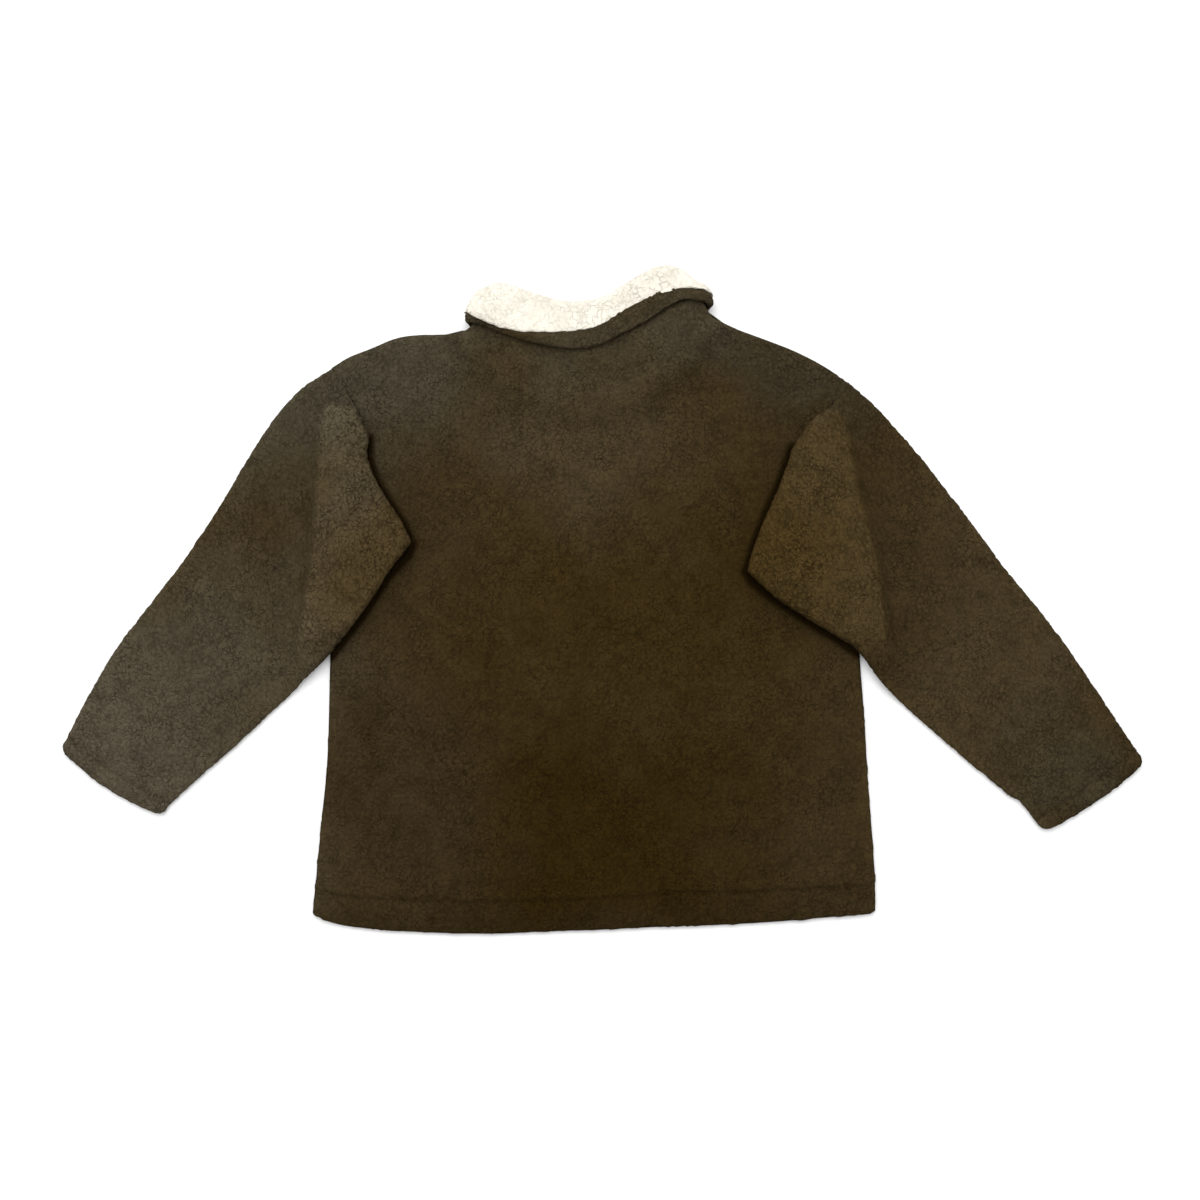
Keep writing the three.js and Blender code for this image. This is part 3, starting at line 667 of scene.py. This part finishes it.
def body_panel(name, neck, is_back, fine, seed):
    """One of the two body panels, with the soft lie of the cloth over its own weight."""
    top = [*shoulder_left, *neck, *shoulder_right]
    across = top[0][0] + spread(top[-1][0] - top[0][0], fine, COARSE)
    groove = np.interp(1.0, side_steps, left_lengths)
    lengths = spread(left_lengths[-1], fine, COARSE, groove)
    outer, side_gap, top_gap = panel_skin(across, lengths, top, is_back, True)
    inner, _, _ = panel_skin(across[::COARSE], lengths[::COARSE], top, is_back, False)
    x, y = outer[..., 0], outer[..., 1]
    if is_back:
        rolling = 1.6 * soft_noise(x, y, 105.0, 31) + 0.9 * soft_noise(x, y, 42.0, 32)
        inland = smoothstep((side_gap - 100) / 70) * smoothstep((y + 290) / 60) * smoothstep((150 - y) / 60)
        outer[..., 2] += rolling * inland
        inner[..., 2] += (rolling * inland)[::COARSE, ::COARSE]
    grip = np.minimum(1.0, 0.35 + top_gap / 12) * PILE_DEPTH * (1.0 if is_back else 0.5)
    outer, crack = raise_pile(outer, inner, False, x, y, grip, seed)
    stand_out = ragged(x, y, 71)
    outward = np.where(across < 0, -1.0, 1.0)[None, :]
    below_armhole = 1 - smoothstep((lengths[:, None] - left_lengths[-1] + 110) / 20)
    outer[..., 0] += outward * stand_out * np.exp(-side_gap / 3.0) * below_armhole
    outer[..., 1] -= stand_out * np.exp(-lengths[:, None] / 3.0)
    # painted sheen: the pile is made paler along the sides and the shoulders; below the hem stitching it is
    # made darker
    pale = EDGE_PAINTED_SHEEN * np.exp(-side_gap / 7.0) * below_armhole + EDGE_PAINTED_SHEEN * np.exp(-top_gap / 9.0)
    pale = pale - HEM_DARK * smoothstep((groove + 6 - lengths[:, None]) / 8)
    crack = stitched(crack, lengths[:, None] - groove, x, y, seed + 20)
    # painted shade: the back is darkened in a narrow band along each flap's edges and more broadly below
    # them, where the flaps cast shade
    for flap, under in ((flap_left, under_left), (flap_right, under_right)):
        upper = np.abs(line_distance(np.array(flap), x, y))
        lower = np.abs(line_distance(np.array([flap[-1], *under]), x, y))
        flap_shade = 0.85 * np.exp(-(upper / FLAP_SHADE_WIDTH) ** 4) + 0.2 * np.exp(-(upper / (2.5 * FLAP_SHADE_WIDTH)) ** 2)
        crack = np.maximum(crack, flap_shade * is_back)
        flap_shade = 0.85 * np.exp(-(lower / FLAP_SHADE_WIDTH) ** 4) + 0.35 * np.exp(-(lower / (3 * FLAP_SHADE_WIDTH)) ** 2)
        crack = np.maximum(crack, np.minimum(1.0, flap_shade) * is_back)
    if not is_back:
        outer[..., 2] = np.maximum(outer[..., 2], 0.0)
    marks = {CRACK_AND_SHADE_ATTRIBUTE: crack, PAINTED_LIGHT_ATTRIBUTE: pale}
    piece = cloth_object(name, outer, inner, False, marks, fleece)
    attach(piece, "root")
    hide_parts(name.replace("cloth_", "") + "_panel")
    return piece


neck_back = [(x, seam - GAP) for x, roll, edge, free, seam in collar_back]
neck_stations = COLLAR_MIDDLE + COLLAR_REACH * np.array([-1, -0.85, -0.65, -0.35, 0, 0.35, 0.65, 0.85, 1])
neck_front = [(x, float(front_line(3, x)) - GAP) for x in neck_stations]
cloth_front = body_panel("cloth_front", neck_front, False, 4.4, 201)
cloth_back = body_panel("cloth_back", neck_back, True, FINE, 101)

# Each sleeve is one cloth, folded along the overarm and sewn along the underarm. It
# lies pressed flat; its underarm corner has slipped over the back and stands up as a
# soft flap. The cuff is turned up once and stitched 17 to 19 mm from its edge.
SLEEVE_CLEAR = 0.5
SLEEVE_SHELF = 16.0
# how much paler the standing flap is painted, as a painted highlight
FLAP_PAINTED_HIGHLIGHT = 0.48
SEAM_GAP = 0.04
FLAP_PUFF = 13.0
FLAP_ROUND = 10.0
FLAP_LEAN = 4.0
FLAP_FADE = 15.0
CUFF_ROUND = 12.0
FOLD = CLOTH + GAP / 2
FOLD_STEPS = 8

# overarm fold, underarm fold and bow towards the cuff, from the armhole to the cuff's edge
sleeve_left = [
    (-303, 232, -215, 41, 0), (-319, 221, -227, 25, 0), (-340, 199, -240, 4, 0),
    (-361, 170, -256, -19, 0), (-382, 136, -272, -40, 0), (-403, 100, -288, -60, 0),
    (-424, 68, -308, -80, 0), (-445, 37, -330, -102, 0), (-466, 10, -352, -122, 0),
    (-487, -17, -374, -143, 1), (-508, -44, -396, -163, 2), (-529, -77, -418, -182, 3),
    (-553, -121, -438, -200, 4), (-565.5, -146, -456, -217.5, 4), (-574, -160.5, -465.5, -231.5, 5),
]
sleeve_right = [
    (258, 227, 163, 15, 0), (269, 218, 176, 3, 0), (290, 198, 197, -12, 0),
    (311, 175, 220, -26, 0), (332, 151, 245, -41, 0), (353, 124, 267, -57, 0),
    (374, 97, 288, -85, 0), (395, 69, 309, -107, 0), (416, 40, 331, -127, 0),
    (440, 10, 354, -147, 0), (464, -19, 377, -167, 1), (490, -54, 402, -188, 2),
    (515, -91, 425, -207, 2), (545, -136, 438, -215, 3), (560, -158.5, 453, -233.5, 3),
    (571, -174, 463, -248, 3),
]
# where the folded corners stop standing up, from below the underarm to the armhole's top
ridge_left = [(-326, -60), (-314, 5), (-305, 69), (-300, 130), (-300, 186), (-289, 206)]
ridge_right = [(302, -60), (287, 37), (275, 80), (263, 133), (256, 181), (243, 204)]


def sleeve_lift(side, outward, x, y):
    """Height of a sleeve over the body, full above the panel and gone a little outside it."""
    away = line_distance(side, x, y) * outward
    full = 2 * CLOTH + GAP + SLEEVE_CLEAR
    top = side[-1][1] - 18
    return full * smoothstep(1 - (away - SLEEVE_SHELF) / LIFT_RUN) * smoothstep((top - y) / 38)


def flap_share(ridge, outward, x, y):
    """1 on the part of a sleeve that stands up as the flap, falling softly to 0 around it."""
    away = line_distance(spline(ridge)[1], x, y) * outward
    between = smoothstep((ridge[-1][1] + 5 - y) / 12) * smoothstep((y - ridge[0][1] + 25) / 60)
    return smoothstep(0.5 - away / FLAP_FADE) * between


def sleeve_shape(side, flap, ridge, sections):
    """Everything that both skins of a sleeve are worked out from."""
    outward = float(np.sign(sections[0][0]))
    sewn = spline(side)[1][-4 * 12 - 1:][::-1]
    loose = spline([side[-5], *flap])[1]
    armhole = np.vstack([sewn, loose[1:]]) + (outward * SEAM_GAP, -SEAM_GAP)
    first = (*armhole[0], *armhole[-1], 0.0)
    steps, rings = spline([first, *sections])
    shares = along(armhole) / along(armhole)[-1]
    bends = armhole - (armhole[0] + shares[:, None] * (armhole[-1] - armhole[0]))
    return {
        "side": side, "ridge": ridge, "outward": outward, "steps": steps, "rings": rings,
        "shares": shares, "bends": bends, "last": len(sections), "seam_end": shares[len(sewn) - 1],
    }


def sleeve_skin(shape, lengths, widths, is_outer):
    """Points of one skin of the tube, a ring for each length; widths run once around it."""
    over = along(shape["rings"][:, :2])
    station = np.interp(lengths, over, shape["steps"])[:, None]
    ring = [np.interp(station, shape["steps"], shape["rings"][:, k]) for k in range(5)]
    wide = np.hypot(ring[2] - ring[0], ring[3] - ring[1])
    along_x, along_y = (ring[2] - ring[0]) / wide, (ring[3] - ring[1]) / wide
    rounding = corner_inset(over[-1] - lengths, CUFF_ROUND)[:, None]
    ring = [ring[0] + along_x * rounding, ring[1] + along_y * rounding,
            ring[2] - along_x * rounding, ring[3] - along_y * rounding, ring[4]]
    wide = wide - 2 * rounding
    left = shape["last"] - station
    hem = np.interp(left, turn_up[:, 0], turn_up[:, 1])
    round_end = edge_share(lengths)[:, None]
    kind, amount = widths
    open_seam = smoothstep((amount[None, :] - shape["seam_end"]) / 0.08)
    on_top = (kind == 0)[None, :]
    round_end = np.where(on_top, 1 - (1 - round_end) * (1 - SEAM_FILL * (1 - open_seam)), round_end)
    reach = FOLD if is_outer else GAP / 2
    half = CLOTH * hem * round_end + GAP / 2 if is_outer else GAP / 2 + 0 * hem
    middle = CLOTH * np.maximum(1.0, hem) + GAP / 2
    inset = FOLD / wide
    share = np.where(kind == 0, inset + amount * (1 - 2 * inset), 0.0)
    share = np.where(kind == 2, 1 - inset - amount * (1 - 2 * inset), share)
    share = np.where(kind == 1, 1 - inset, share)
    share = np.where(kind == 3, inset, share)
    past_fold = reach * np.cos(amount)
    beyond = np.where(kind == 1, past_fold, 0.0) - np.where(kind == 3, past_fold, 0.0)
    height = np.where(kind == 0, 1.0, 0.0) - np.where(kind == 2, 1.0, 0.0)
    height = height - np.where(kind == 1, np.sin(amount), 0.0) + np.where(kind == 3, np.sin(amount), 0.0)
    near = np.clip(share + beyond / wide, 0.0, 1.0)
    decay = np.maximum(0.0, 1 - station / 4) ** 2
    push = ring[4] * np.sin(math.pi * near)
    bend = [np.interp(near, shape["shares"], shape["bends"][:, axis]) * decay for axis in (0, 1)]
    x = ring[0] + share * (ring[2] - ring[0]) + along_x * beyond + bend[0]
    x = x - along_y * push * shape["outward"]
    y = ring[1] + share * (ring[3] - ring[1]) + along_y * beyond + bend[1] - np.abs(along_x * push)
    standing = flap_share(shape["ridge"], shape["outward"], x, y)
    from_edge = np.minimum(lengths[:, None], (1 - near) * wide)
    from_edge = 1 - np.clip(from_edge / FLAP_ROUND, 0.0, 1.0)
    full = np.sqrt(1 - from_edge * from_edge)
    upper = standing * np.maximum(0.0, height)
    z = middle + height * half + sleeve_lift(shape["side"], shape["outward"], x, y)
    z = z + FLAP_PUFF * full * upper
    x = x - shape["outward"] * FLAP_LEAN * 2 * from_edge * full * upper
    return np.stack([x, y, z], axis=-1), near * wide, standing


def sleeve_widths(count, folds):
    """The way around a sleeve: along the top, over the underarm, back below, up the overarm."""
    flat = np.arange(count) / count
    turn = np.linspace(-math.pi / 2, math.pi / 2, folds + 1)[:-1]
    kind = np.repeat([0, 1, 2, 3], [count, folds, count, folds])
    return kind, np.concatenate([flat, turn, flat, turn])


def sleeve(name, side, flap, ridge, sections, seed):
    """One sleeve as a closed wall, with the lie of its cloth and its pile."""
    shape = sleeve_shape(side, flap, ridge, sections)
    over = along(shape["rings"][:, :2])
    groove = np.interp(shape["last"] - 1, shape["steps"], over)
    lengths = spread(over[-1], FINE, COARSE, groove)
    fine_around = 96
    kind, amount = sleeve_widths(fine_around, FOLD_STEPS)
    outer, width, standing = sleeve_skin(shape, lengths, (kind, amount), True)
    inner, _, _ = sleeve_skin(shape, lengths[::COARSE], (kind[::COARSE], amount[::COARSE]), False)
    is_top = np.isin(kind, (0, 1, 3))[None, :]
    x, y = outer[..., 0], outer[..., 1]
    station = np.interp(lengths, over, shape["steps"])[:, None]
    swell = smoothstep(station / 2) * smoothstep((shape["last"] - 2 - station) / 2) + 0 * x
    rolling = (2.4 * soft_noise(x, y, 64.0, seed) + 1.2 * soft_noise(x, y, 27.0, seed + 1)) * swell
    raised = np.sin(math.pi * np.clip(width / width.max(axis=1, keepdims=True), 0, 1)) ** 0.5
    outer[..., 2] += np.where(kind == 0, rolling * raised, 0.0)
    inner[..., 2] += np.where(kind == 0, rolling * raised, 0.0)[::COARSE, ::COARSE]
    below = np.where(kind == 2, 0.25, 1.0)[None, :]
    turned = np.where(is_top, 1.0, 0.0)
    outer, crack = raise_pile(
        outer, inner, True, x + 400 * (1 - turned), y, PILE_DEPTH * below + 0 * x, seed + 10)
    outer[..., 2] = np.maximum(outer[..., 2], 0.0)
    crack = stitched(crack, lengths[:, None] - groove + 0 * x, x, y, seed + 20)
    crack = np.minimum(1.0, crack * (1 + 0.25 * standing))
    stand_out = ragged(x, y, 73)
    at_fold = np.where((kind == 1) | (kind == 3), np.cos(amount), 0.0)[None, :]
    end_rows = np.exp(-(over[-1] - lengths[:, None]) / 3.0)
    outer[..., 0] += shape["outward"] * stand_out * np.maximum(0.4 * at_fold, 0.4 * end_rows)
    fold_out = np.where(kind == 1, 0.4, -0.4)[None, :] * at_fold
    outer[..., 1] -= stand_out * np.maximum(fold_out, 0.7 * end_rows)
    # painted light: paler along the folds as painted sheen, and on the standing flap as a painted
    # highlight, but not on the underside
    from_fold = np.minimum(width, width.max(axis=1, keepdims=True) - width)
    pale = EDGE_PAINTED_SHEEN * np.exp(-from_fold / 7.0)
    painted_light_mark = np.maximum(FLAP_PAINTED_HIGHLIGHT * standing * np.where(kind == 2, 0.0, 1.0), pale)
    marks = {CRACK_AND_SHADE_ATTRIBUTE: crack, PAINTED_LIGHT_ATTRIBUTE: painted_light_mark}
    piece = cloth_object("cloth_" + name, outer, inner, True, marks, fleece)
    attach(piece, "root")
    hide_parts(name)
    return piece


cloth_sleeve_left = sleeve("sleeve_left", side_left, flap_left, ridge_left, sleeve_left, 301)
cloth_sleeve_right = sleeve("sleeve_right", side_right, flap_right, ridge_right, sleeve_right, 401)

# The collar is a ring of two cloths: the brown under collar stands up from the neck
# seam, rolls over and falls back; the cream lining covers its inside and the face of
# the fall. The brown edge is rolled over the lining's lower end as a soft rim.
RIM_ARCH = 1.6
LINING_CREAM = (0.735, 0.695, 0.605, 1.0)
LINING_CRACK = (0.64, 0.59, 0.50, 1.0)
collar_side = {"left": (306, 299, 287, 289), "right": (324, 315, 304, 313)}
TURN_FINE = 24
COLLAR_FINE = 1.7
COLLAR_PILE = 1.1


def collar_stations(fine):
    """x, ring angle and the four lines, once around the ring from the left end of the back."""
    _, back = spline(collar_back)
    back_x = np.linspace(collar_back[0, 0], collar_back[-1, 0], round(2 * COLLAR_REACH / fine))
    back_lines = np.stack([np.interp(back_x, back[:, 0], back[:, k]) for k in (1, 2, 3, 4)], axis=-1)
    front_x = back_x[::-1]
    front_lines = np.stack([front_line(k, front_x) for k in range(4)], axis=-1)
    angles = np.linspace(0, math.pi, TURN_FINE + 2)[1:-1]

    def turn(side, start, finish):
        share = np.where(angles < math.pi / 2, np.cos(angles) ** 2, np.cos(angles) ** 4)[:, None]
        other = np.where((angles < math.pi / 2)[:, None], start, finish)
        middle = np.array(collar_side[side], float)
        return middle + (other - middle) * share

    right = turn("right", back_lines[-1], front_lines[0])
    left = turn("left", back_lines[0], front_lines[-1])[::-1]
    x = np.concatenate([back_x, np.full(TURN_FINE, back_x[-1]), front_x, np.full(TURN_FINE, back_x[0])])
    angle = np.concatenate([0 * back_x, angles, 0 * front_x + math.pi, -angles[::-1]])
    lines = np.vstack([back_lines, right, front_lines, left])
    whole = len(x) - len(x) % COARSE
    keep = np.round(np.linspace(0, len(x), whole, endpoint=False)).astype(int)
    return x[keep], angle[keep], lines[keep]


def resample(path, fine):
    """Even steps along paths that all have the same number of points."""
    length = np.linalg.norm(np.diff(path, axis=1), axis=2).mean(axis=0)
    total = np.concatenate([[0.0], np.cumsum(length)])
    count = math.ceil(total[-1] / fine / COARSE) * COARSE
    wanted = np.interp(np.linspace(0, total[-1], count + 1), total, np.arange(len(total)))
    k = np.minimum(wanted.astype(int), len(total) - 2)
    t = (wanted - k)[None, :, None]
    return path[:, k] * (1 - t) + path[:, k + 1] * t


def collar_points(stations, path):
    """Turn (out, y) pairs of every station into points, rows along the path."""
    x, angle, _ = stations
    radius = STAND + path[..., 0]
    px = x[:, None] + radius * np.sin(angle)[:, None]
    pz = COLLAR_LEVEL + radius * np.cos(angle)[:, None] + sag(px, path[..., 1])
    return np.stack([px, path[..., 1], pz], axis=-1).transpose(1, 0, 2)


def bow_path(out, y, radius, angles, sign=1):
    """Part of a circle in (out, y), for every station."""
    turns = np.radians(angles)
    return np.stack([out - radius * np.cos(turns) + 0 * y[:, None],
                     y[:, None] + sign * radius * np.sin(turns)], axis=-1)


def straight(out, start, finish, count=6):
    """Part of a path at one distance out, from one y to another, for every station."""
    t = np.linspace(0, 1, count)
    y = start[:, None] + (finish - start)[:, None] * t
    return np.stack([out + 0 * y, y], axis=-1)


def collar_cloth(name, node, near, far, stations, fine, depth, seed, material):
    """Sweep a pair of skins round the ring; far is the one that shows."""
    outer = collar_points(stations, resample(far, fine))
    same = resample(far, fine).shape[1]
    inner_path = near[:, np.round(np.linspace(0, near.shape[1] - 1, (same - 1) // COARSE + 1)).astype(int)]
    thin = (stations[0][::COARSE], stations[1][::COARSE], None)
    inner = collar_points(thin, inner_path[::COARSE])
    down = np.linspace(0, same * fine, same)[:, None] + 0 * outer[..., 0]
    around = np.arange(outer.shape[1])[None, :] * fine + 0 * outer[..., 0]
    outer, crack = raise_pile(outer, inner, True, around, down, depth + 0 * down, seed)
    outer[..., 2] = np.maximum(outer[..., 2], 0.0)
    piece = cloth_object(name, outer, inner, True, {CRACK_AND_SHADE_ATTRIBUTE: crack}, material)
    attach(piece, "root")
    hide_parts(node)
    return piece


stations = collar_stations(COLLAR_FINE)
roll, edge, free, seam = stations[2].T
ring_angle = np.linspace(0, 2 * math.pi, len(edge), endpoint=False)
ring_radius = COLLAR_FINE * len(edge) / (2 * math.pi)
edge = edge + 0.9 * ragged(ring_radius * np.cos(ring_angle), ring_radius * np.sin(ring_angle), 91)
crown = CLOTH + NAP
roll_y = roll - 2 * CLOTH - NAP - GAP
fall = CLOTH + 2 * NAP
rim = 2 * CLOTH + 2 * NAP + GAP / 2
half_turn = np.linspace(0, 180, 13)
turn_y = free + CLOTH + GAP / 2


def collar_paths(stand, radius, fall_out, rim_radius, tip):
    """Under collar's path: up the stand, over the roll, down the fall and round the rim."""
    rim_top = rim + rim_radius
    lie = np.maximum(0.0, np.cos(stations[1]))[:, None]
    t = np.linspace(0, 1, 7)
    back_y = turn_y[:, None] + (edge - GAP - turn_y)[:, None] * t
    arch = RIM_ARCH * lie * np.sin(math.pi * t ** 0.8) if tip else 0.0
    back_out = rim_top + arch - tip * smoothstep((t - 0.6) / 0.4)
    back = np.stack([back_out + 0 * back_y, back_y], axis=-1)
    return np.concatenate([
        straight(stand, seam, roll_y),
        bow_path(crown, roll_y, radius, half_turn[1:-1]),
        straight(fall_out, roll_y, turn_y),
        bow_path(rim, turn_y, rim_radius, half_turn[1:-1], -1),
        back,
    ], axis=1)


near_lining = collar_paths(0.0, crown, fall + CLOTH, GAP / 2, 0.0)
near_stand = collar_paths(CLOTH, NAP, fall, CLOTH + GAP / 2, 1.4)
cloth_collar_under = collar_cloth(
    "cloth_collar_under", "collar_under", near_lining, near_stand, stations,
    COLLAR_FINE, COLLAR_PILE, 501, fleece)


def lining_paths(radius, tip):
    """Lining's path: up the stand, over the roll and down to the rim."""
    t = np.linspace(0, 1, 12)
    y = roll_y[:, None] + (edge - roll_y)[:, None] * t
    out = crown + radius - tip * smoothstep((t - 0.8) / 0.2)
    return np.concatenate([
        straight(crown - radius, seam, roll_y),
        bow_path(crown, roll_y, radius, half_turn[1:-1]),
        np.stack([out + 0 * y, y], axis=-1),
    ], axis=1)


lining = sherpa_material("lining_cream", LINING_CREAM, LINING_CRACK, (), 170.0, 0.5, 0.8, 0.03)
cloth_collar_lining = collar_cloth(
    "cloth_collar_lining", "collar_lining", lining_paths(crown + GAP, 0.0),
    lining_paths(crown + GAP + CLOTH, 1.4), stations,
    COLLAR_FINE, COLLAR_PILE, 601, lining)
